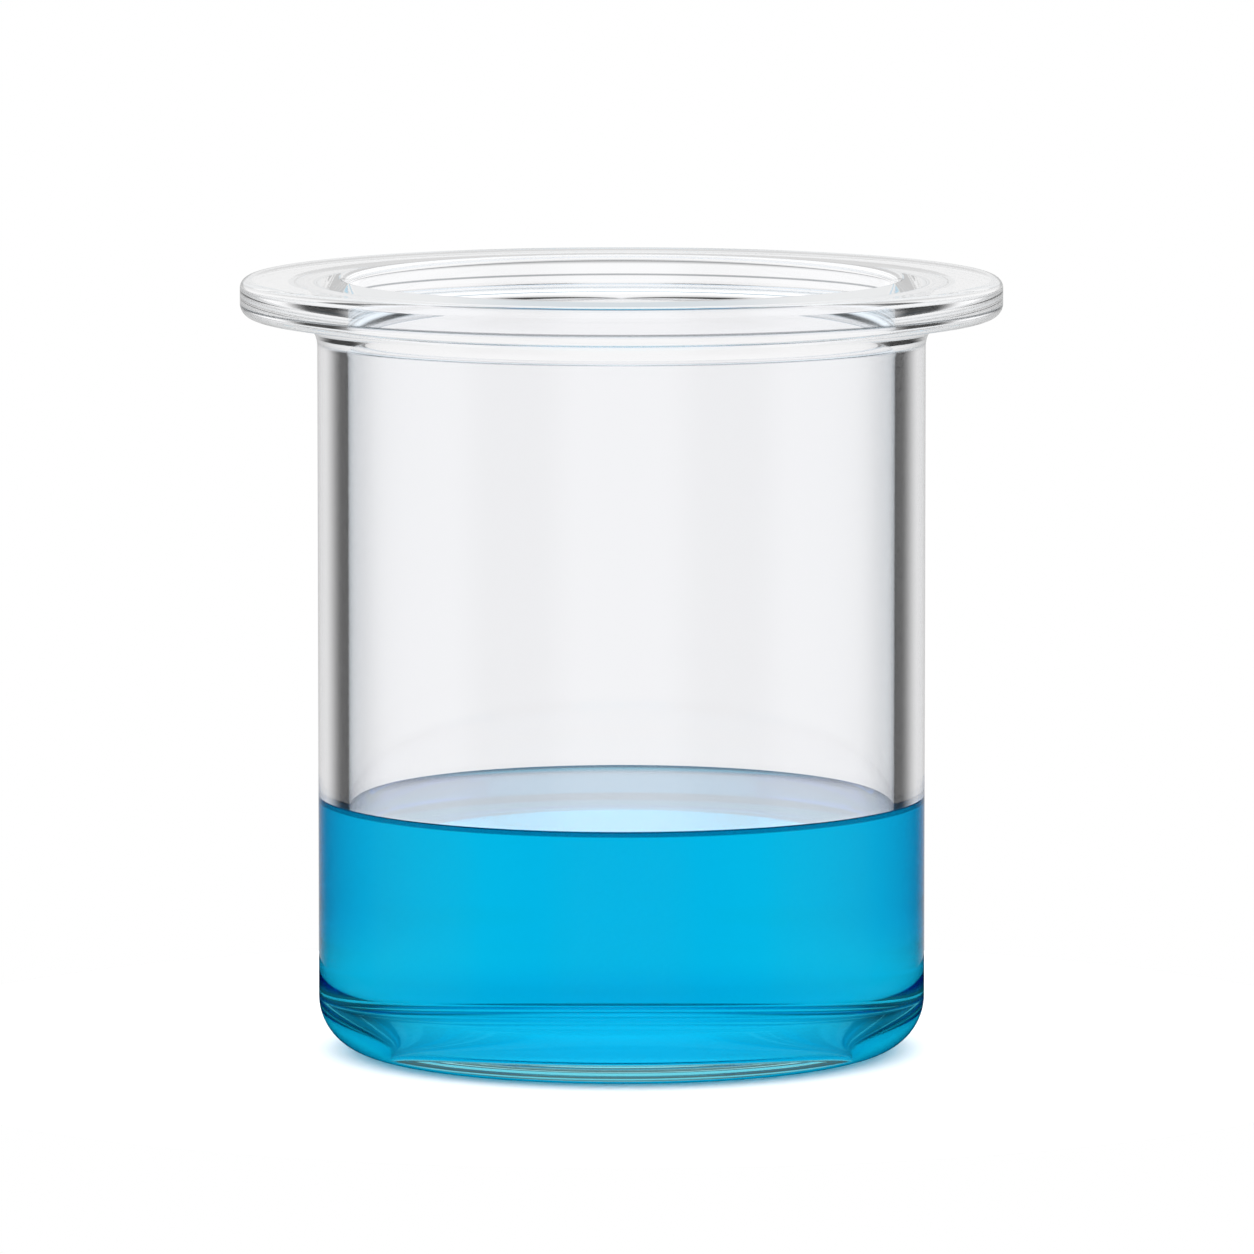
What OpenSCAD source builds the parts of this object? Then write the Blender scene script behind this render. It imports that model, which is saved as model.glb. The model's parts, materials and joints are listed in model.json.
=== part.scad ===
// Crystallizing dish: a deep, heavy-walled borosilicate vessel with a flat flange,
// holding a blue solution. Millimetres, +Z up.
// The origin is the middle of the underside, on the surface that the dish stands on.
// Both pieces are turned about the Z axis, so each is one outline in radius and height.

/* [Wall] */
// Outside diameter of the cylindrical wall
body_d = 100; // [60:0.5:200]
// Height from the underside to the top of the flange
overall_h = 127.8; // [70:0.1:260]
// Thickness of the cylindrical wall
wall_t = 5; // [2.5:0.1:8]

/* [Base] */
// Thickness of the base
base_t = 4.8; // [2.5:0.1:8]
// Outside radius of the corner between wall and base
base_corner_r = 9; // [1:0.1:14]
// Inside radius of the corner between wall and floor
floor_corner_r = 4.5; // [1:0.1:12]

/* [Flange] */
// How far the flange stands out from the wall
flange_w = 12.7; // [6:0.1:30]
// Thickness of the flange
flange_t = 6.3; // [4.2:0.1:12]
// Radius of the flange's upper outer edge
flange_top_r = 1.6; // [0.3:0.1:2]
// Radius of the flange's lower outer edge
flange_low_r = 2.1; // [0.3:0.1:2.2]
// Radius of the edge where the mouth opens on top
mouth_r = 1.6; // [0.3:0.1:2]
// Radius of the fillet where the flange's underside runs down into the wall
neck_r = 5; // [0.5:0.1:6]

/* [Solution] */
// Height of the solution's level surface above the underside of the dish
fill_h = 41; // [20:0.1:60]
// Radius of the meniscus, where the solution climbs the glass
meniscus_r = 0.8; // [0.3:0.1:3]
// Clearance between the solution and the glass that it wets
wet_gap = 0.05; // [0.02:0.01:0.2]

/* [Hidden] */

// Segments in a drawn circle
$fn = 180;
// How far a cutting shape runs past the face that it opens
past = 1;

// Radii of the turned surfaces, from the axis
wall_outer_r = body_d / 2;
bore_r = wall_outer_r - wall_t;
flange_r = wall_outer_r + flange_w;

// Height of the flange's underside
flange_z = overall_h - flange_t;

// Fillets as they are made: the one under the flange ends before the flange's lower edge,
// and the one at the floor is never so sharp that the rounded base would thin the glass
neck_fillet_r = min(neck_r, flange_w - flange_low_r);
floor_fillet_r = max(floor_corner_r, base_corner_r - min(wall_t, base_t));

// What a corner of radius r takes off a square edge.
// It sits at the origin, and sx and sz are 1 or -1, towards the inside of the material.
module edge_cut(r, sx, sz) {
    difference() {
        translate([sx > 0 ? -past : -r, sz > 0 ? -past : -r])
            square(r + past);
        translate([sx * r, sz * r])
            circle(r);
    }
}

// What a fillet of radius r adds to the inside corner at the origin.
// sx and sz are 1 or -1, away from the two faces that it joins.
module fillet_fill(r, sx, sz) {
    difference() {
        translate([sx > 0 ? 0 : -r, sz > 0 ? 0 : -r])
            square(r);
        translate([sx * r, sz * r])
            circle(r);
    }
}

// Outline of the flange's disc, with its two rounded outer edges
module flange_outline() {
    translate([0, flange_z])
        difference() {
            square([flange_r, flange_t]);
            translate([flange_r, 0])
                edge_cut(flange_low_r, -1, 1);
            translate([flange_r, flange_t])
                edge_cut(flange_top_r, -1, -1);
        }
}

// Outline of the wall and base as if solid, with the rounded corner at the base
module barrel_outline() {
    difference() {
        square([wall_outer_r, overall_h - flange_t / 2]);
        translate([wall_outer_r, 0])
            edge_cut(base_corner_r, -1, 1);
    }
}

// Outline of the space inside the glass, drawn in by gap all round, from the floor to top
module cavity_outline(gap, top) {
    floor_z = base_t + gap;
    difference() {
        translate([0, floor_z])
            square([bore_r - gap, top - floor_z]);
        translate([bore_r - gap, floor_z])
            edge_cut(floor_fillet_r, -1, 1);
    }
}

// The glass vessel: one piece of glass, with a flat base and a flat flange
module dish() {
    color([0.86, 0.92, 0.94, 0.4])
        rotate_extrude()
            difference() {
                union() {
                    barrel_outline();
                    flange_outline();
                    translate([wall_outer_r, flange_z])
                        fillet_fill(neck_fillet_r, 1, -1);
                }
                cavity_outline(0, overall_h + past);
                translate([bore_r, overall_h])
                    edge_cut(mouth_r, 1, -1);
            }
}

// The solution: it fills the cavity up to its level surface, and climbs the glass a little
module blue_solution() {
    color([0.0, 0.68, 0.90, 0.8])
        rotate_extrude()
            difference() {
                cavity_outline(wet_gap, fill_h + meniscus_r);
                translate([0, fill_h])
                    square([bore_r - wet_gap - meniscus_r, meniscus_r + past]);
                translate([bore_r - wet_gap - meniscus_r, fill_h + meniscus_r])
                    circle(meniscus_r);
            }
}

dish();
blue_solution();
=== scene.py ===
"""Looks of a crystallizing dish: a flanged vessel of clear glass, a third full of a blue solution.

Both pieces are turned shapes. Each is one outline in radius and height, put together from straight
runs and arcs, and carried round the Z axis. Everything is in metres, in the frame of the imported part.
"""
import json
import logging
import math
from dataclasses import dataclass, field
from enum import Enum

import bpy
import numpy as np
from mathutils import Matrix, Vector
from numpy.typing import NDArray


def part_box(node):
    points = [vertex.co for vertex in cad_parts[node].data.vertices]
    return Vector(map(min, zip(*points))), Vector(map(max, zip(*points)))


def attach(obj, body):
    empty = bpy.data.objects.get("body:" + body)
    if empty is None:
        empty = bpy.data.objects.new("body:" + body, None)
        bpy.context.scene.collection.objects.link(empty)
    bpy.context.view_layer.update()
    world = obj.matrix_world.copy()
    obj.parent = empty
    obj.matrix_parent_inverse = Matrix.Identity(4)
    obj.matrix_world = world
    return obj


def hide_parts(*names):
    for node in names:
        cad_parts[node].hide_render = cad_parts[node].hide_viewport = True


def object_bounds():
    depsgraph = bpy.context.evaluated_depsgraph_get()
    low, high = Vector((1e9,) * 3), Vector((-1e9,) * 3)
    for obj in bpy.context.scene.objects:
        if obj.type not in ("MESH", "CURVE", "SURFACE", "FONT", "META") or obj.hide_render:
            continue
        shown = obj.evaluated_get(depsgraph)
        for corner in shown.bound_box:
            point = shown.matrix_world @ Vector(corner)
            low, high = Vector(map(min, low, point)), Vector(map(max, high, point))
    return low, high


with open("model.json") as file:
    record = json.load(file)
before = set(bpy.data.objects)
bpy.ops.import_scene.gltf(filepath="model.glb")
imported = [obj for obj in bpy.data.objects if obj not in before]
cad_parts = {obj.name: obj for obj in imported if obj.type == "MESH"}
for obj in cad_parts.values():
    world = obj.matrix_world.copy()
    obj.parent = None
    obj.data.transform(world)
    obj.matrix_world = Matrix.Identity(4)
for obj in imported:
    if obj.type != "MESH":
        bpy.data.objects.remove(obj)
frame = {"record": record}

Socket = bpy.types.NodeSocket

CAD_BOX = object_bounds()
BODY = "root"
MM = 0.001
LOG = logging.getLogger("crystallizing_dish")

# Refractive indexes of the glass and of the solution
GLASS_IOR = 1.473
WATER_IOR = 1.337
# Clearance between the solution and the glass that it wets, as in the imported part
WET_GAP = 0.05 * MM
# The meniscus is drawn out to this many of its widths, with rows that crowd towards the glass
MENISCUS_WIDTHS = 5.0
MENISCUS_CROWDING = 1.5
# A ray's bounces are counted in whole numbers, so a count is compared half a step above one
HALF_STEP = 0.5

# Rows of points along the stretches of the two outlines
BASE_ROWS, CORNER_ROWS, WALL_ROWS, NECK_ROWS = 24, 48, 24, 28
FLANGE_ROWS, EDGE_ROWS, RIM_ROWS, BORE_ROWS = 6, 20, 8, 16
WETTED_ROWS, FILLET_ROWS, FLOOR_ROWS = 12, 36, 20
MENISCUS_ROWS, LEVEL_ROWS = 40, 16

# Settings that many nodes share
SMOOTH = {"interpolation_type": "SMOOTHSTEP"}
FLOAT_MIX = {"data_type": "FLOAT"}
COLOUR_MIX = {"data_type": "RGBA"}
MULTIPLY = {"operation": "MULTIPLY"}
SUBTRACT = {"operation": "SUBTRACT"}
ABSOLUTE = {"operation": "ABSOLUTE"}
LARGER = {"operation": "MAXIMUM"}
OVER = {"operation": "GREATER_THAN"}
FOLD = {"operation": "PINGPONG"}
ARC_TANGENT = {"operation": "ARCTAN2"}
ARC_SINE = {"operation": "ARCSINE"}
LENGTH = {"operation": "LENGTH"}


def linear(hex_colour: str) -> tuple[float, float, float, float]:
    """Turn an sRGB hex colour into linear light by the standard sRGB curve.

    Args:
        hex_colour: Six hex digits, with or without a leading hash.

    Returns:
        Red, green, blue and an alpha of one, each from 0 to 1.
    """
    digits = hex_colour.lstrip("#")
    srgb = np.array([int(digits[i:i + 2], 16) for i in (0, 2, 4)]) / 255
    light = np.where(srgb <= 0.04045, srgb / 12.92, ((srgb + 0.055) / 1.055) ** 2.4)
    return (*(float(channel) for channel in light), 1.0)


def add_node(tree: bpy.types.NodeTree, kind: str, settings: dict | None = None,
             inputs: dict | None = None) -> bpy.types.Node:
    """Add one shader node with its settings and what goes into it.

    Args:
        tree: The node tree that gets the node.
        kind: The node's type name without the ShaderNode in front.
        settings: Attributes of the node, by name.
        inputs: For each input, by name or number, a plain value or the output socket to link.

    Returns:
        The new node.
    """
    node = tree.nodes.new("ShaderNode" + kind)
    for name, value in (settings or {}).items():
        setattr(node, name, value)
    for key, value in (inputs or {}).items():
        if isinstance(value, Socket):
            tree.links.new(value, node.inputs[key])
        else:
            node.inputs[key].default_value = value
    return node


class Facing(Enum):
    """Which side of an arc the outside of the solid lies on."""

    CONVEX = 1
    CONCAVE = -1


@dataclass
class Outline:
    """An outline in radius and height, kept as rows of points with the outward normal of each.

    The outline runs from the axis to the axis with the solid on its left. Each row also has a part
    number, which picks the material of the faces that start there.
    """

    part: int = 0
    points: list[NDArray] = field(default_factory=list)
    normals: list[NDArray] = field(default_factory=list)
    parts: list[NDArray] = field(default_factory=list)

    def _add(self, points: NDArray, normals: NDArray) -> "Outline":
        """Add rows, without the first where the last run already ends there."""
        skip = 1 if self.points else 0
        self.points.append(points[skip:])
        self.normals.append(normals[skip:])
        self.parts.append(np.full(len(points) - skip, self.part))
        return self

    def run(self, start: tuple[float, float], end: tuple[float, float], rows: int) -> "Outline":
        """Add a straight run: start plus t times the way to end, for even t from 0 to 1.

        Args:
            start: Radius and height of the first point.
            end: Radius and height of the last point.
            rows: How many points, both ends included.

        Returns:
            This outline.
        """
        first, last = np.array(start), np.array(end)
        way = last - first
        normal = np.array([way[1], -way[0]]) / np.hypot(*way)
        points = first + np.linspace(0, 1, rows)[:, None] * way
        return self._add(points, np.tile(normal, (rows, 1)))

    def arc(self, centre: tuple[float, float], radius: float, start: float, end: float,
            rows: int, facing: Facing = Facing.CONVEX) -> "Outline":
        """Add an arc: centre plus radius times the cosine and sine of an angle that runs evenly.

        Args:
            centre: Radius and height of the arc's centre.
            radius: Radius of the arc.
            start: First angle in degrees, from the outward horizontal towards up.
            end: Last angle in degrees.
            rows: How many points, both ends included.
            facing: CONVEX where the solid holds the centre, CONCAVE where the centre is outside.

        Returns:
            This outline.
        """
        angle = np.radians(np.linspace(start, end, rows))
        spoke = np.column_stack([np.cos(angle), np.sin(angle)])
        return self._add(np.array(centre) + radius * spoke, facing.value * spoke)

    def fall(self, start: tuple[float, float], width: float, height: float, rows: int) -> "Outline":
        """Add a meniscus: from start inwards, height times e to the power of minus distance over width.

        What is left of the power at the last point is taken off evenly, so that it ends level.

        Args:
            start: Radius and height of the contact line at the glass.
            width: Distance over which the climb falls to about a third.
            height: How far the meniscus climbs.
            rows: How many points, both ends included.

        Returns:
            This outline.
        """
        reach = np.linspace(0, 1, rows) ** MENISCUS_CROWDING * MENISCUS_WIDTHS
        power, rest = np.exp(-reach), np.exp(-MENISCUS_WIDTHS)
        drop = height * (1 - (power - rest) / (1 - rest))
        slope = height / width * power / (1 - rest)
        points = np.array(start) - np.column_stack([reach * width, drop])
        normals = np.column_stack([-slope, np.ones(rows)]) / np.hypot(slope, 1)[:, None]
        return self._add(points, normals)

    def revolve(self, name: str, segments: int, materials: list[bpy.types.Material]) -> bpy.types.Object:
        """Carry the outline round the Z axis into a closed mesh object.

        The point for row i at angle a is (r cos a, r sin a, z), and its normal is turned the same way.
        The first and last rows lie on the axis, so each is one vertex in a fan of triangles.

        Args:
            name: Name of the object.
            segments: How many steps round the axis.
            materials: One material for each part number.

        Returns:
            The object, at the origin.
        """
        rz, nrz = np.concatenate(self.points), np.concatenate(self.normals)
        parts = np.concatenate(self.parts)
        angle = np.arange(segments) * (2 * math.pi / segments)
        ring = rz[1:-1]
        rings, turn = len(ring), np.column_stack([np.cos(angle), np.sin(angle)])
        co = np.empty((rings, segments, 3))
        co[..., :2] = ring[:, None, :1] * turn[None]
        co[..., 2] = ring[:, None, 1]
        no = np.empty_like(co)
        no[..., :2] = nrz[1:-1, None, :1] * turn[None]
        no[..., 2] = nrz[1:-1, None, 1]
        ends = np.array([[0, 0, rz[0, 1]], [0, 0, rz[-1, 1]]])
        end_normals = np.array([[0, 0, nrz[0, 1]], [0, 0, nrz[-1, 1]]])
        vertices = np.concatenate([co.reshape(-1, 3), ends])
        normals = np.concatenate([no.reshape(-1, 3), end_normals])

        here = np.arange(segments)
        there = np.roll(here, -1)
        low = (np.arange(rings - 1) * segments)[:, None]
        quads = np.stack([low + here, low + there, low + segments + there, low + segments + here], -1)
        first, last = rings * segments, rings * segments + 1
        top = (rings - 1) * segments
        fan_in = np.column_stack([np.full(segments, first), there, here])
        fan_out = np.column_stack([np.full(segments, last), top + here, top + there])

        loops = np.concatenate([quads.reshape(-1), fan_in.reshape(-1), fan_out.reshape(-1)])
        sizes = np.concatenate([np.full(quads.shape[0] * segments, 4), np.full(2 * segments, 3)])
        slots = np.concatenate([np.repeat(parts[2:-1], segments), np.full(segments, parts[1]),
                                np.full(segments, parts[-1])])
        mesh = bpy.data.meshes.new(name)
        mesh.vertices.add(len(vertices))
        mesh.vertices.foreach_set("co", vertices.ravel())
        mesh.loops.add(len(loops))
        mesh.loops.foreach_set("vertex_index", loops.astype(np.int32))
        mesh.polygons.add(len(sizes))
        starts = np.concatenate([[0], np.cumsum(sizes)[:-1]])
        mesh.polygons.foreach_set("loop_start", starts.astype(np.int32))
        for material in materials:
            mesh.materials.append(material)
        mesh.polygons.foreach_set("material_index", slots.astype(np.int32))
        mesh.update(calc_edges=True)
        mesh.validate()
        mesh.shade_smooth()
        mesh.normals_split_custom_set_from_vertices(normals)
        piece = bpy.data.objects.new(name, mesh)
        bpy.context.scene.collection.objects.link(piece)
        return piece


@dataclass(frozen=True)
class GlassFinish:
    """Fire-polished borosilicate glass.

    The eye gets a clear, colourless body with dark and bright lines where it bends, and a faint
    unevenness from forming that makes straight reflections waver a little. One thin line of painted
    shade runs round it at a fixed height. Its foot can take a painted tint of the solution's light,
    and its edges painted shade where the glass is seen at a slant.
    """

    name: str
    ior: float
    # The line: a thin band of painted shade, drawn where bent light shows a dark line in the glass
    line: str
    line_mm: float
    line_half_mm: float
    line_soft_mm: float
    line_beyond_mm: float = 0.0
    tint: str = "#FFFFFF"
    # The edge colour is painted shade: the glass turns darker and bluer towards it where seen at a slant
    edge: str = "#FFFFFF"
    edge_from: float = 0.06
    edge_to: float = 0.40
    edge_low_mm: float = 6.0
    edge_high_mm: float = 20.0
    # The foot colour is painted light: the solution's colour where it shows in the base
    foot: str = "#FFFFFF"
    foot_from_mm: float = 9.0
    foot_to_mm: float = 2.0
    wave_mm: float = 18.0
    wave_depth_mm: float = 0.004
    wave_detail: float = 1.0
    wave_roughness: float = 0.4

    def material(self) -> bpy.types.Material:
        """Make the material.

        Returns:
            A see-through material whose surface waves by noise in object coordinates.
        """
        material = bpy.data.materials.new(self.name)
        material.use_nodes = True
        tree = material.node_tree
        tree.nodes.clear()
        place = add_node(tree, "TexCoord").outputs["Object"]
        wave = add_node(tree, "TexNoise", inputs={
            "Vector": place, "Scale": 1 / (self.wave_mm * MM), "Detail": self.wave_detail,
            "Roughness": self.wave_roughness})
        bump = add_node(tree, "Bump", inputs={
            "Height": wave.outputs["Fac"], "Strength": 1.0, "Distance": self.wave_depth_mm * MM})
        height = add_node(tree, "SeparateXYZ", inputs={0: place}).outputs["Z"]
        colour = self._painted_slant_shade(tree, height)
        colour = self._painted_foot_light(tree, height, colour)
        colour = self._painted_shade_line(tree, place, height, colour)
        shader = add_node(tree, "BsdfPrincipled", inputs={
            "Base Color": colour, "Roughness": 0.0, "IOR": self.ior,
            "Transmission Weight": 1.0, "Normal": bump.outputs["Normal"]})
        add_node(tree, "OutputMaterial", inputs={"Surface": shader.outputs["BSDF"]})
        return material

    def _painted_slant_shade(self, tree: bpy.types.NodeTree, height: Socket) -> Socket:
        """Go from the tint to the edge's colour, a painted shade, where the glass is seen at a slant,
        above its foot.

        Args:
            tree: The material's node tree.
            height: Height above the underside.

        Returns:
            The colour.
        """
        facing = add_node(tree, "LayerWeight", inputs={"Blend": 0.5}).outputs["Facing"]
        glancing = add_node(tree, "MapRange", inputs={
            "Value": facing, "From Min": self.edge_from, "From Max": self.edge_to})
        upper = add_node(tree, "MapRange", SMOOTH, {
            "Value": height, "From Min": self.edge_low_mm * MM, "From Max": self.edge_high_mm * MM})
        share = add_node(tree, "Math", MULTIPLY, {0: glancing.outputs[0], 1: upper.outputs[0]})
        return add_node(tree, "Mix", COLOUR_MIX, {
            0: share.outputs[0], 6: linear(self.tint), 7: linear(self.edge)}).outputs[2]

    def _painted_foot_light(self, tree: bpy.types.NodeTree, height: Socket, colour: Socket) -> Socket:
        """Turn the colour to that of the foot low down: painted light, the solution's colour showing in
        the base.

        Args:
            tree: The material's node tree.
            height: Height above the underside.
            colour: The colour so far.

        Returns:
            The colour.
        """
        low = add_node(tree, "MapRange", SMOOTH, {
            "Value": height, "From Min": self.foot_to_mm * MM, "From Max": self.foot_from_mm * MM,
            "To Min": 1.0, "To Max": 0.0})
        return add_node(tree, "Mix", COLOUR_MIX, {
            0: low.outputs[0], 6: colour, 7: linear(self.foot)}).outputs[2]

    def _painted_shade_line(self, tree: bpy.types.NodeTree, place: Socket, height: Socket,
               colour: Socket) -> Socket:
        """Draw the thin line of painted shade: a soft band in height, only beyond a radius.

        Args:
            tree: The material's node tree.
            place: Object coordinates.
            height: Height above the underside.
            colour: The colour so far.

        Returns:
            The colour.
        """
        off = add_node(tree, "Math", SUBTRACT, {0: height, 1: self.line_mm * MM})
        away = add_node(tree, "Math", ABSOLUTE, {0: off.outputs[0]})
        band = add_node(tree, "MapRange", SMOOTH, {
            "Value": away.outputs[0], "From Min": self.line_half_mm * MM,
            "From Max": (self.line_half_mm + self.line_soft_mm) * MM, "To Min": 1.0, "To Max": 0.0})
        flat = add_node(tree, "VectorMath", MULTIPLY, {0: place, 1: (1.0, 1.0, 0.0)})
        radius = add_node(tree, "VectorMath", LENGTH, {0: flat.outputs[0]})
        beyond = add_node(tree, "Math", OVER, {
            0: radius.outputs["Value"], 1: self.line_beyond_mm * MM})
        share = add_node(tree, "Math", MULTIPLY, {0: band.outputs[0], 1: beyond.outputs[0]})
        return add_node(tree, "Mix", COLOUR_MIX, {
            0: share.outputs[0], 6: colour, 7: linear(self.line)}).outputs[2]


@dataclass(frozen=True)
class SolutionFinish:
    """A clear blue solution in water, such as copper sulfate.

    The eye gets a colour that deepens with the length of liquid that it looks through: cyan at the
    thin rim and a strong sky blue in the body.
    """

    name: str
    ior: float
    coat: float = 0.0
    ripple_mm: float = 16.0
    ripple_depth_mm: float = 0.0
    ripple_detail: float = 2.0
    ripple_roughness: float = 0.5
    density_per_m: float = 80.0
    clear: tuple[float, float, float] = (0.0, 0.904, 0.976)

    def material(self) -> bpy.types.Material:
        """Make the material.

        Returns:
            A see-through material with absorption in its volume.
        """
        material = bpy.data.materials.new(self.name)
        material.use_nodes = True
        tree = material.node_tree
        tree.nodes.clear()
        place = add_node(tree, "TexCoord").outputs["Object"]
        ripple = add_node(tree, "TexNoise", inputs={
            "Vector": place, "Scale": 1 / (self.ripple_mm * MM), "Detail": self.ripple_detail,
            "Roughness": self.ripple_roughness})
        bump = add_node(tree, "Bump", inputs={
            "Height": ripple.outputs["Fac"], "Strength": 1.0, "Distance": self.ripple_depth_mm * MM})
        shader = add_node(tree, "BsdfPrincipled", inputs={
            "Base Color": (1.0, 1.0, 1.0, 1.0), "Roughness": 0.0, "IOR": self.ior,
            "Transmission Weight": 1.0, "Coat Weight": self.coat, "Coat Roughness": 0.0,
            "Normal": bump.outputs["Normal"], "Coat Normal": bump.outputs["Normal"]})
        volume = add_node(tree, "VolumeAbsorption", inputs={
            "Color": (*self.clear, 1.0), "Density": self.density_per_m})
        add_node(tree, "OutputMaterial", inputs={
            "Surface": shader.outputs["BSDF"], "Volume": volume.outputs["Volume"]})
        return material


# The dry glass: clear, with a cyan foot of painted light where the solution's colour shows in the
# base, and a fine grey line of painted shade round the flange
DRY_GLASS = GlassFinish(
    "borosilicate_glass", GLASS_IOR, line="#74787C", line_mm=123.55, line_half_mm=0.06,
    line_soft_mm=0.2, line_beyond_mm=61.0, tint="#FCFCFD", edge="#FCFCFD", foot="#6CDEF0",
    foot_from_mm=12.0, foot_to_mm=5.0)
# The glass that the solution wets: painted shade makes it darker and bluer where it is seen at a slant,
# and draws a dark band at the contact line
WET_GLASS = GlassFinish(
    "borosilicate_glass_wetted", GLASS_IOR / WATER_IOR, line="#4A6F84", line_mm=41.4,
    line_half_mm=0.4, line_soft_mm=0.3, edge="#90C2E3")
# The free surface: it mirrors a little more than plain water and ripples faintly
SOLUTION_TOP = SolutionFinish("blue_solution", WATER_IOR, coat=0.6, ripple_depth_mm=0.02)
# The solution's side: the wetted glass has bent the light already, so this only colours it
SOLUTION_SIDE = SolutionFinish("blue_solution_against_glass", 1.0)


@dataclass
class Dish:
    """The glass vessel and the solution in it, with the sizes that their outlines share."""

    outer_r: float
    bore_r: float
    flange_r: float
    height: float
    flange_z: float
    floor_z: float
    level_z: float
    contact_z: float
    base_corner_r: float = 9.0 * MM
    floor_corner_r: float = 4.5 * MM
    flange_top_r: float = 1.6 * MM
    flange_low_r: float = 2.1 * MM
    mouth_r: float = 1.6 * MM
    neck_r: float = 5.0 * MM
    meniscus_h: float = 0.8 * MM
    meniscus_w: float = 2.0 * MM
    segments: int = 384

    @classmethod
    def from_frame(cls) -> "Dish":
        """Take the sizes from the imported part.

        Returns:
            A dish with the frame's radii and heights.
        """
        mounts = {mount["name"]: mount for mount in frame["record"]["mounts"]}
        dish_low, dish_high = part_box("dish")
        liquid_low, liquid_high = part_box("blue_solution")
        return cls(
            outer_r=mounts["body_in_ring"]["dims"]["r_mm"] * MM,
            bore_r=liquid_high.x + WET_GAP,
            flange_r=min(-dish_low.x, dish_high.x, -dish_low.y, dish_high.y),
            height=dish_high.z,
            flange_z=mounts["flange_underside"]["pos_m"][2],
            floor_z=liquid_low.z - WET_GAP,
            level_z=liquid_high.z - cls.meniscus_h,
            contact_z=liquid_high.z,
        )

    def glass(self) -> bpy.types.Object:
        """Build the vessel: out over the base, up the wall, round the flange and down the bore.

        Returns:
            The glass piece, with its wetted faces in the second material.
        """
        o = Outline()
        corner = self.base_corner_r
        neck = (self.outer_r + self.neck_r, self.flange_z - self.neck_r)
        low = (self.flange_r - self.flange_low_r, self.flange_z + self.flange_low_r)
        top = (self.flange_r - self.flange_top_r, self.height - self.flange_top_r)
        mouth = (self.bore_r + self.mouth_r, self.height - self.mouth_r)
        inner = (self.bore_r - self.floor_corner_r, self.floor_z + self.floor_corner_r)
        o.run((0, 0), (self.outer_r - corner, 0), BASE_ROWS)
        o.arc((self.outer_r - corner, corner), corner, -90, 0, CORNER_ROWS)
        o.run((self.outer_r, corner), (self.outer_r, neck[1]), WALL_ROWS)
        o.arc(neck, self.neck_r, 180, 90, NECK_ROWS, Facing.CONCAVE)
        o.run((neck[0], self.flange_z), (low[0], self.flange_z), FLANGE_ROWS)
        o.arc(low, self.flange_low_r, -90, 0, EDGE_ROWS)
        o.run((self.flange_r, low[1]), (self.flange_r, top[1]), FLANGE_ROWS)
        o.arc(top, self.flange_top_r, 0, 90, EDGE_ROWS)
        o.run((top[0], self.height), (mouth[0], self.height), RIM_ROWS)
        o.arc(mouth, self.mouth_r, 90, 180, EDGE_ROWS)
        o.run((self.bore_r, mouth[1]), (self.bore_r, self.contact_z), BORE_ROWS)
        o.part = 1
        o.run((self.bore_r, self.contact_z), (self.bore_r, inner[1]), WETTED_ROWS)
        o.arc(inner, self.floor_corner_r, 0, -90, FILLET_ROWS, Facing.CONCAVE)
        o.run((inner[0], self.floor_z), (0, self.floor_z), FLOOR_ROWS)
        return o.revolve("dish_glass", self.segments, [DRY_GLASS.material(), WET_GLASS.material()])

    def solution(self) -> bpy.types.Object:
        """Build the solution: out over the floor, up the wetted wall, down the meniscus and in.

        Returns:
            The liquid piece, with its free surface in the first material.
        """
        wall_r, floor_z = self.bore_r - WET_GAP, self.floor_z + WET_GAP
        inner = (wall_r - self.floor_corner_r, floor_z + self.floor_corner_r)
        level_r = wall_r - MENISCUS_WIDTHS * self.meniscus_w
        o = Outline(part=1)
        o.run((0, floor_z), (inner[0], floor_z), FLOOR_ROWS)
        o.arc(inner, self.floor_corner_r, -90, 0, FILLET_ROWS)
        o.run((wall_r, inner[1]), (wall_r, self.contact_z), WETTED_ROWS)
        o.part = 0
        o.fall((wall_r, self.contact_z), self.meniscus_w, self.meniscus_h, MENISCUS_ROWS)
        o.run((level_r, self.level_z), (0, self.level_z), LEVEL_ROWS)
        return o.revolve("blue_solution_liquid", self.segments,
                         [SOLUTION_TOP.material(), SOLUTION_SIDE.material()])

    def build(self) -> list[bpy.types.Object]:
        """Build both pieces and tie them to the frame.

        Returns:
            The pieces, outermost first.
        """
        glass, solution = self.glass(), self.solution()
        for piece, node, slot in ((glass, "dish", "borosilicate_glass"),
                                  (solution, "blue_solution", "blue_solution")):
            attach(piece, BODY)
            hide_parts(node)
            LOG.info("%s stands for %s: %d faces", piece.name, node, len(piece.data.polygons))
        return [glass, solution]


@dataclass(frozen=True)
class SkyRay:
    """What the sky's nodes know of a ray: its direction, and what it has been through.

    Angles are in radians. The four flags are one where they hold and zero elsewhere.
    """

    azimuth: Socket
    aside: Socket
    height: Socket
    tilt: Socket
    mirrored: Socket
    trapped: Socket
    deep: Socket
    ended: Socket
    reflection: Socket
    camera: Socket
    diffused: Socket


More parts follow.
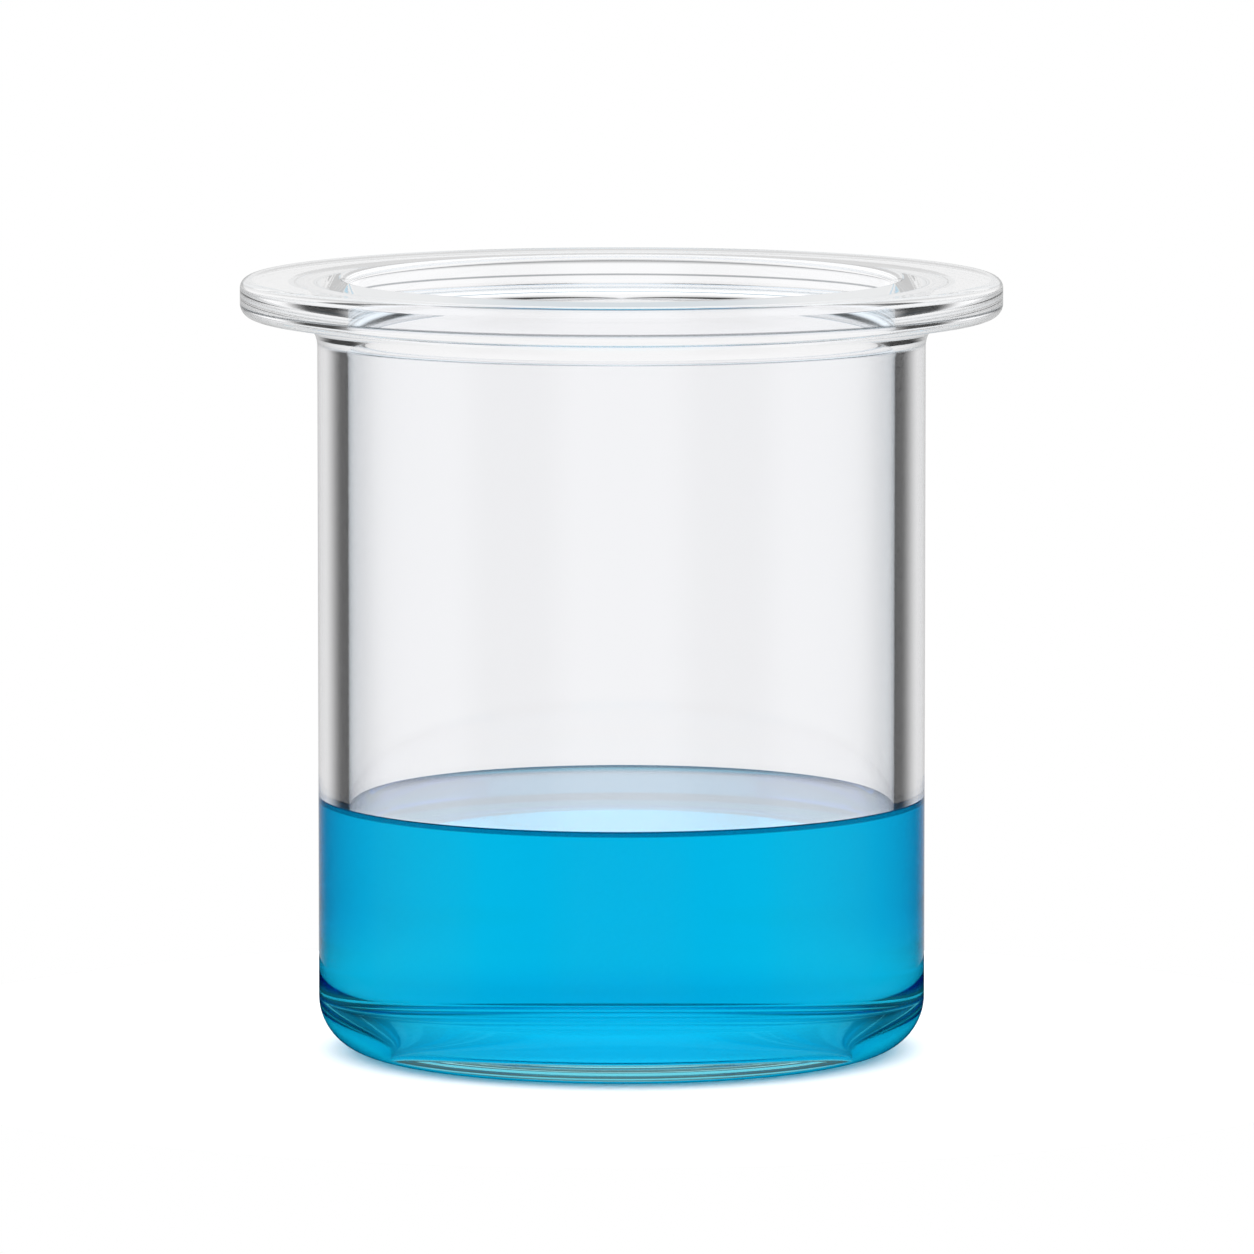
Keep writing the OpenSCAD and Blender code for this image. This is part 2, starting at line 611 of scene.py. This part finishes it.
@dataclass(frozen=True)
class Studio:
    """A bright-field studio: a white sweep behind the glass and dark cards where it is mirrored.

    It isn't a plain set of lamps. Its light depends on the kind of ray that reaches it and on how
    often that ray was mirrored or bent, and the floor's light also on the angle that it is seen at.
    """

    # The floor: its size, its matte finish, and the light that it sends through the glass
    floor_r: float = 0.13
    floor_drop: float = 0.05 * MM
    floor_steps: int = 128
    floor_hex: str = "#F4F4F4"
    light_on_floor: float = 2.0
    under_glow: float = 2.15
    under_mirrored: float = 0.3
    under_from: float = 0.5
    under_to: float = 0.8
    glow_r: float = 34.0 * MM
    glow_soft_r: float = 2.0 * MM
    mid_glow: float = 0.3
    shade: float = 0.25
    shade_from_r: float = 48.0 * MM
    shade_soft_r: float = 3.0 * MM
    shade_to_r: float = 66.0 * MM
    sweep_soft_r: float = 14.0 * MM
    # Colour of the painted light in the ring round the base, as if it had come through the solution
    ring_light_hex: str = "#60D0F8"
    flank_steep: float = 0.45
    flank_from: float = 0.3
    flank_to: float = 0.6
    above_from: float = 0.03
    above_to: float = 0.17
    above_light: float = 0.95

    # Dark cards at four azimuths, as mirrored rays see them in the sky and on the floor
    card_from_deg: float = 15.0
    card_to_deg: float = 37.0
    card_light: float = 0.03
    card_floor: float = 0.0
    card_bounces: int = 1
    gain: float = 1.3
    gain_deg: float = 25.0
    trapped_light: float = 1.0

    # The sky for rays that went through, by height
    roof_from_deg: float = 25.0
    roof_to_deg: float = 60.0
    roof_light: float = 0.75
    ground_from_deg: float = 6.0
    ground_to_deg: float = 14.0
    ground_light: float = 0.55

    # Rays that were bent more than a few times
    deep_after: int = 2
    deep_ground: float = 1.0
    deep_share: float = 0.8
    deep_light: float = 0.85
    deep_from_deg: float = 6.0
    deep_to_deg: float = 12.0
    cool_hex: str = "#EEF8FF"

    # The sheen on the outside of the glass
    sheen: float = 0.5
    sheen_deg: float = 32.0
    ceiling: float = 0.8
    ceiling_deg: float = 5.0

    # How far rays are followed, and the light that ends those which go on
    bounces: int = 32
    mirror_bounces: int = 16
    followed: int = 7
    ended_reach: float = 0.01 * MM
    ended_light: float = 1.0
    lost_from_deg: float = 16.0
    lost_to_deg: float = 34.0
    lost_light: float = 0.2
    down_from_deg: float = 22.0
    down_to_deg: float = 32.0
    down_hex: str = "#BCD0DC"
    down_side_hex: str = "#F2F5F7"
    down_side_from_deg: float = 12.0
    down_side_to_deg: float = 40.0

    # The camera
    distance: float = 2.105
    elevation_deg: float = 6.45
    aim_up: float = 6.05 * MM
    aim_right: float = 0.9 * MM
    lens_mm: float = 366.6
    sensor_mm: float = 36.0
    near: float = 0.05
    far: float = 50.0

    def floor(self) -> None:
        """Lay a round floor just under the dish: points on a circle, joined to one face."""
        angle = np.arange(self.floor_steps) * (2 * math.pi / self.floor_steps)
        rim = np.column_stack([self.floor_r * np.cos(angle), self.floor_r * np.sin(angle),
                               np.full(self.floor_steps, -self.floor_drop)])
        mesh = bpy.data.meshes.new("floor")
        mesh.from_pydata(rim.tolist(), [], [list(range(self.floor_steps))])
        mesh.materials.append(self._sweep())
        floor = bpy.data.objects.new("floor", mesh)
        bpy.context.scene.collection.objects.link(floor)

    def _sweep(self) -> bpy.types.Material:
        """Make the floor's finish.

        To the lens it is plain, pale and matte. Through the glass it glows instead, and where the
        glass would mirror it straight off its outside it is black.

        Returns:
            The material.
        """
        material = bpy.data.materials.new("matte_white_sweep")
        material.use_nodes = True
        tree = material.node_tree
        tree.nodes.clear()
        path = add_node(tree, "LightPath").outputs
        place = add_node(tree, "TexCoord").outputs["Object"]
        radius = add_node(tree, "VectorMath", LENGTH, {0: place}).outputs["Value"]
        facing = add_node(tree, "LayerWeight", inputs={"Blend": 0.5}).outputs["Facing"]
        above = add_node(tree, "MapRange", SMOOTH, {
            "Value": facing, "From Min": self.above_from, "From Max": self.above_to,
            "To Min": 1.0, "To Max": 0.0}).outputs[0]
        open_floor = add_node(tree, "MapRange", SMOOTH, {
            "Value": radius, "From Min": self.shade_to_r,
            "From Max": self.shade_to_r + self.sweep_soft_r, "To Min": 0.0, "To Max": 1.0}).outputs[0]
        mirrored = add_node(tree, "Math", OVER, {0: path["Glossy Depth"], 1: HALF_STEP}).outputs[0]
        under = self._under_glow(tree, radius, facing, mirrored)
        flank = self._flank_glow(tree, place, facing, mirrored)
        beyond = add_node(tree, "Math", MULTIPLY, {0: open_floor, 1: flank})
        shaped = add_node(tree, "Math", LARGER, {0: under, 1: beyond.outputs[0]})
        level = add_node(tree, "Mix", FLOAT_MIX, {
            0: above, 2: shaped.outputs[0], 3: self.above_light})
        direct = add_node(tree, "Math", SUBTRACT, {0: 1.0, 1: path["Is Reflection Ray"]})
        strength = add_node(tree, "Math", MULTIPLY, {0: level.outputs[0], 1: direct.outputs[0]})
        glow = add_node(tree, "Emission", inputs={
            "Color": self._painted_ring_light(tree, radius, open_floor, above), "Strength": strength.outputs[0]})
        matte = add_node(tree, "BsdfDiffuse", inputs={"Color": linear(self.floor_hex)})
        shader = add_node(tree, "MixShader", inputs={
            0: path["Is Camera Ray"], 1: glow.outputs[0], 2: matte.outputs[0]})
        add_node(tree, "OutputMaterial", inputs={"Surface": shader.outputs[0]})
        return material

    def _under_glow(self, tree: bpy.types.NodeTree, radius: Socket, facing: Socket,
                    mirrored: Socket) -> Socket:
        """Light the floor under the dish: full in the middle, less further out, shaded at the wall.

        Args:
            tree: The floor's node tree.
            radius: Distance from the axis.
            facing: How flat the floor is seen, from 0 straight down to 1 along it.
            mirrored: One for a ray that the glass has mirrored.

        Returns:
            The strength of the glow.
        """
        begin = add_node(tree, "MapRange", SMOOTH, {
            "Value": radius, "From Min": self.shade_from_r,
            "From Max": self.shade_from_r + self.shade_soft_r, "To Min": 1.0, "To Max": self.shade})
        straight = add_node(tree, "Mix", FLOAT_MIX, {
            0: mirrored, 2: self.under_glow, 3: self.under_mirrored})
        under = add_node(tree, "MapRange", SMOOTH, {
            "Value": facing, "From Min": self.under_from, "From Max": self.under_to,
            "To Min": 1.0, "To Max": straight.outputs[0]})
        bright = add_node(tree, "MapRange", SMOOTH, {
            "Value": radius, "From Min": self.glow_r, "From Max": self.glow_r + self.glow_soft_r,
            "To Min": under.outputs[0], "To Max": self.mid_glow})
        return add_node(tree, "Math", MULTIPLY, {0: begin.outputs[0], 1: bright.outputs[0]}).outputs[0]

    def _flank_glow(self, tree: bpy.types.NodeTree, place: Socket, facing: Socket,
                    mirrored: Socket) -> Socket:
        """Light the floor round the dish: less where it is seen steeply, and, for mirrored rays, dark in
        four sectors as a painted reflection of the cards.

        Args:
            tree: The floor's node tree.
            place: Object coordinates.
            facing: How flat the floor is seen, from 0 straight down to 1 along it.
            mirrored: One for a ray that the glass has mirrored.

        Returns:
            The strength of the glow.
        """
        xy = add_node(tree, "SeparateXYZ", inputs={0: place}).outputs
        azimuth = add_node(tree, "Math", ARC_TANGENT, {0: xy["X"], 1: xy["Y"]}).outputs[0]
        cards = self._cards(tree, azimuth, self.card_floor)
        shallow = add_node(tree, "MapRange", SMOOTH, {
            "Value": facing, "From Min": self.flank_from, "From Max": self.flank_to,
            "To Min": self.flank_steep, "To Max": 1.0})
        return add_node(tree, "Mix", FLOAT_MIX, {
            0: mirrored, 2: shallow.outputs[0], 3: cards}).outputs[0]

    def _painted_ring_light(self, tree: bpy.types.NodeTree, radius: Socket, open_floor: Socket,
               above: Socket) -> Socket:
        """Colour the floor's glow blue in a ring round the base: painted light, as if it had come
        through the solution.

        Args:
            tree: The floor's node tree.
            radius: Distance from the axis.
            open_floor: One beyond the ring.
            above: One where the floor is seen from straight above.

        Returns:
            The colour.
        """
        ring = add_node(tree, "Math", OVER, {0: radius, 1: self.shade_from_r})
        inner = add_node(tree, "Mix", COLOUR_MIX, {
            0: ring.outputs[0], 6: linear("#FFFFFF"), 7: linear(self.ring_light_hex)})
        outer = add_node(tree, "Mix", COLOUR_MIX, {
            0: open_floor, 6: inner.outputs[2], 7: linear("#FFFFFF")})
        return add_node(tree, "Mix", COLOUR_MIX, {
            0: above, 6: outer.outputs[2], 7: linear("#FFFFFF")}).outputs[2]

    def _cards(self, tree: bpy.types.NodeTree, azimuth: Socket, dark: float) -> Socket:
        """Darken four sectors: the azimuth is folded to an eighth of a turn and stepped softly.

        Args:
            tree: The node tree of the floor or the sky.
            azimuth: Angle round the axis in radians.
            dark: What the sectors fall to.

        Returns:
            One between the cards, and dark on them.
        """
        folded = add_node(tree, "Math", FOLD, {0: azimuth, 1: math.pi / 4})
        return add_node(tree, "MapRange", SMOOTH, {
            "Value": folded.outputs[0], "From Min": math.radians(self.card_from_deg),
            "From Max": math.radians(self.card_to_deg), "To Min": 1.0, "To Max": dark}).outputs[0]

    def _ray(self, tree: bpy.types.NodeTree) -> SkyRay:
        """Read a ray's direction and history.

        Args:
            tree: The sky's node tree.

        Returns:
            The sockets that the sky's light is worked out from.
        """
        path = add_node(tree, "LightPath").outputs
        sight = add_node(tree, "TexCoord").outputs["Generated"]
        way = add_node(tree, "SeparateXYZ", inputs={0: sight}).outputs
        azimuth = add_node(tree, "Math", ARC_TANGENT, {0: way["X"], 1: way["Y"]}).outputs[0]
        height = add_node(tree, "Math", ARC_SINE, {0: way["Z"]}).outputs[0]
        return SkyRay(
            azimuth=azimuth,
            aside=add_node(tree, "Math", ABSOLUTE, {0: azimuth}).outputs[0],
            height=height,
            tilt=add_node(tree, "Math", ABSOLUTE, {0: height}).outputs[0],
            mirrored=add_node(tree, "Math", OVER, {
                0: path["Glossy Depth"], 1: HALF_STEP}).outputs[0],
            trapped=add_node(tree, "Math", OVER, {
                0: path["Glossy Depth"], 1: self.card_bounces + HALF_STEP}).outputs[0],
            deep=add_node(tree, "Math", OVER, {
                0: path["Transmission Depth"], 1: self.deep_after + HALF_STEP}).outputs[0],
            ended=add_node(tree, "Math", OVER, {
                0: path["Glossy Depth"], 1: self.followed + HALF_STEP}).outputs[0],
            reflection=path["Is Reflection Ray"],
            camera=path["Is Camera Ray"],
            diffused=add_node(tree, "Math", OVER, {
                0: path["Diffuse Depth"], 1: HALF_STEP}).outputs[0],
        )

    def _sheen(self, tree: bpy.types.NodeTree, ray: SkyRay) -> Socket:
        """Light what the outside of the glass mirrors: a soft light behind, and the ceiling.

        Args:
            tree: The sky's node tree.
            ray: What is known of the ray.

        Returns:
            The strength.
        """
        rim = add_node(tree, "MapRange", SMOOTH, {
            "Value": ray.aside, "From Min": 0.0, "From Max": math.radians(self.sheen_deg),
            "To Min": self.sheen, "To Max": 0.0})
        ceiling = add_node(tree, "MapRange", SMOOTH, {
            "Value": ray.height, "From Min": 0.0, "From Max": math.radians(self.ceiling_deg),
            "To Min": 0.0, "To Max": self.ceiling})
        return add_node(tree, "Math", LARGER, {0: rim.outputs[0], 1: ceiling.outputs[0]}).outputs[0]

    def _roof(self, tree: bpy.types.NodeTree, ray: SkyRay) -> Socket:
        """Dim the sky towards the zenith.

        Args:
            tree: The sky's node tree.
            ray: What is known of the ray.

        Returns:
            The strength.
        """
        return add_node(tree, "MapRange", SMOOTH, {
            "Value": ray.height, "From Min": math.radians(self.roof_from_deg),
            "From Max": math.radians(self.roof_to_deg), "To Min": 1.0,
            "To Max": self.roof_light}).outputs[0]

    def _mirrored_sky(self, tree: bpy.types.NodeTree, ray: SkyRay, roof: Socket) -> Socket:
        """Light rays that the glass mirrored inside: the cards, softened for much-bent level rays.

        Args:
            tree: The sky's node tree.
            ray: What is known of the ray.
            roof: The strength by height.

        Returns:
            The strength.
        """
        share = add_node(tree, "Math", MULTIPLY, {0: ray.deep, 1: self.deep_share})
        level = add_node(tree, "MapRange", SMOOTH, {
            "Value": ray.tilt, "From Min": math.radians(self.deep_from_deg),
            "From Max": math.radians(self.deep_to_deg), "To Min": 1.0, "To Max": 0.0})
        soft = add_node(tree, "Math", MULTIPLY, {0: share.outputs[0], 1: level.outputs[0]})
        even = add_node(tree, "Mix", FLOAT_MIX, {
            0: soft.outputs[0], 2: self._cards(tree, ray.azimuth, self.card_light),
            3: self.deep_light})
        roofed = add_node(tree, "Math", MULTIPLY, {0: even.outputs[0], 1: roof})
        ahead = add_node(tree, "MapRange", SMOOTH, {
            "Value": ray.aside, "From Min": 0.0, "From Max": math.radians(self.gain_deg),
            "To Min": self.gain, "To Max": 1.0})
        gained = add_node(tree, "Math", MULTIPLY, {0: roofed.outputs[0], 1: ahead.outputs[0]})
        return add_node(tree, "Mix", FLOAT_MIX, {
            0: ray.trapped, 2: gained.outputs[0], 3: self.trapped_light}).outputs[0]

    def _through_sky(self, tree: bpy.types.NodeTree, ray: SkyRay, roof: Socket) -> Socket:
        """Light rays that went straight through: white, dimmer below the horizon.

        Args:
            tree: The sky's node tree.
            ray: What is known of the ray.
            roof: The strength by height.

        Returns:
            The strength.
        """
        low = add_node(tree, "MapRange", SMOOTH, {
            "Value": ray.height, "From Min": -math.radians(self.ground_to_deg),
            "From Max": -math.radians(self.ground_from_deg), "To Min": self.ground_light,
            "To Max": 1.0})
        ground = add_node(tree, "Mix", FLOAT_MIX, {
            0: ray.deep, 2: low.outputs[0], 3: self.deep_ground})
        return add_node(tree, "Math", MULTIPLY, {0: roof, 1: ground.outputs[0]}).outputs[0]

    def _strength(self, tree: bpy.types.NodeTree, ray: SkyRay) -> Socket:
        """Pick the sky's strength by the kind of ray.

        Args:
            tree: The sky's node tree.
            ray: What is known of the ray.

        Returns:
            The strength, before the light for rays that end on their way down.
        """
        roof = self._roof(tree, ray)
        inside = add_node(tree, "Mix", FLOAT_MIX, {
            0: ray.mirrored, 2: self._through_sky(tree, ray, roof),
            3: self._mirrored_sky(tree, ray, roof)})
        outside = add_node(tree, "Mix", FLOAT_MIX, {
            0: ray.reflection, 2: inside.outputs[0], 3: self._sheen(tree, ray)})
        lost = add_node(tree, "MapRange", SMOOTH, {
            "Value": ray.tilt, "From Min": math.radians(self.lost_from_deg),
            "From Max": math.radians(self.lost_to_deg), "To Min": self.ended_light,
            "To Max": self.lost_light})
        met = add_node(tree, "Mix", FLOAT_MIX, {
            0: ray.ended, 2: outside.outputs[0], 3: lost.outputs[0]})
        seen = add_node(tree, "Mix", FLOAT_MIX, {0: ray.camera, 2: met.outputs[0], 3: 1.0})
        return add_node(tree, "Mix", FLOAT_MIX, {
            0: ray.diffused, 2: seen.outputs[0], 3: self.light_on_floor}).outputs[0]

    def world(self) -> None:
        """Light the scene by the kind of light path that reaches the sky."""
        world = bpy.data.worlds.new("studio")
        bpy.context.scene.world = world
        world.use_nodes = True
        world.cycles.sampling_method = "NONE"
        tree = world.node_tree
        tree.nodes.clear()
        ray = self._ray(tree)
        down = add_node(tree, "MapRange", SMOOTH, {
            "Value": ray.height, "From Min": -math.radians(self.down_from_deg),
            "From Max": -math.radians(self.down_to_deg)})
        guided = add_node(tree, "Math", MULTIPLY, {0: down.outputs[0], 1: ray.ended}).outputs[0]
        cool = add_node(tree, "Math", MULTIPLY, {0: ray.deep, 1: ray.mirrored})
        cooled = add_node(tree, "Mix", COLOUR_MIX, {
            0: cool.outputs[0], 6: linear("#FFFFFF"), 7: linear(self.cool_hex)})
        sideways = add_node(tree, "MapRange", SMOOTH, {
            "Value": ray.aside, "From Min": math.radians(self.down_side_from_deg),
            "From Max": math.radians(self.down_side_to_deg)})
        below = add_node(tree, "Mix", COLOUR_MIX, {
            0: sideways.outputs[0], 6: linear(self.down_hex), 7: linear(self.down_side_hex)})
        hue = add_node(tree, "Mix", COLOUR_MIX, {0: guided, 6: cooled.outputs[2], 7: below.outputs[2]})
        strength = add_node(tree, "Mix", FLOAT_MIX, {
            0: guided, 2: self._strength(tree, ray), 3: 1.0})
        sky = add_node(tree, "Background", inputs={
            "Color": hue.outputs[2], "Strength": strength.outputs[0]})
        add_node(tree, "OutputWorld", inputs={"Surface": sky.outputs[0]})

    def camera(self) -> None:
        """Set the camera in front of the dish, a little above it, with a long lens."""
        low, high = CAD_BOX
        middle = (Vector(low) + Vector(high)) / 2
        data = bpy.data.cameras.new("camera")
        data.lens, data.sensor_width = self.lens_mm, self.sensor_mm
        data.clip_start, data.clip_end = self.near, self.far
        tilt = math.radians(self.elevation_deg)
        place = Vector((self.aim_right, middle.y - self.distance * math.cos(tilt),
                        middle.z + self.distance * math.sin(tilt)))
        aim = Vector((self.aim_right, middle.y, middle.z + self.aim_up))
        camera = bpy.data.objects.new("camera", data)
        camera.location = place
        camera.rotation_euler = (aim - place).to_track_quat("-Z", "Y").to_euler()
        bpy.context.scene.collection.objects.link(camera)
        bpy.context.scene.camera = camera

    def build(self) -> None:
        """Set up the camera, the floor, the light and how light is followed through glass."""
        self.camera()
        self.floor()
        self.world()
        scene = bpy.context.scene
        scene.view_settings.view_transform = "Standard"
        scene.cycles.max_bounces = self.bounces
        scene.cycles.transmission_bounces = self.bounces
        scene.cycles.glossy_bounces = self.mirror_bounces
        scene.cycles.sample_clamp_indirect = 0.0
        scene.cycles.use_fast_gi = True
        scene.cycles.fast_gi_method = "REPLACE"
        scene.cycles.ao_bounces_render = self.followed
        scene.cycles.ao_bounces = self.followed
        scene.world.light_settings.distance = self.ended_reach
        scene.world.light_settings.ao_factor = 1.0


def main() -> None:
    """Build the studio and the dish."""
    logging.basicConfig(level=logging.INFO, format="%(name)s: %(message)s")
    Studio().build()
    LOG.info("studio set")
    pieces = Dish.from_frame().build()
    LOG.info("%d pieces built", len(pieces))


if __name__ == "__main__":
    main()
    bpy.context.view_layer.update()
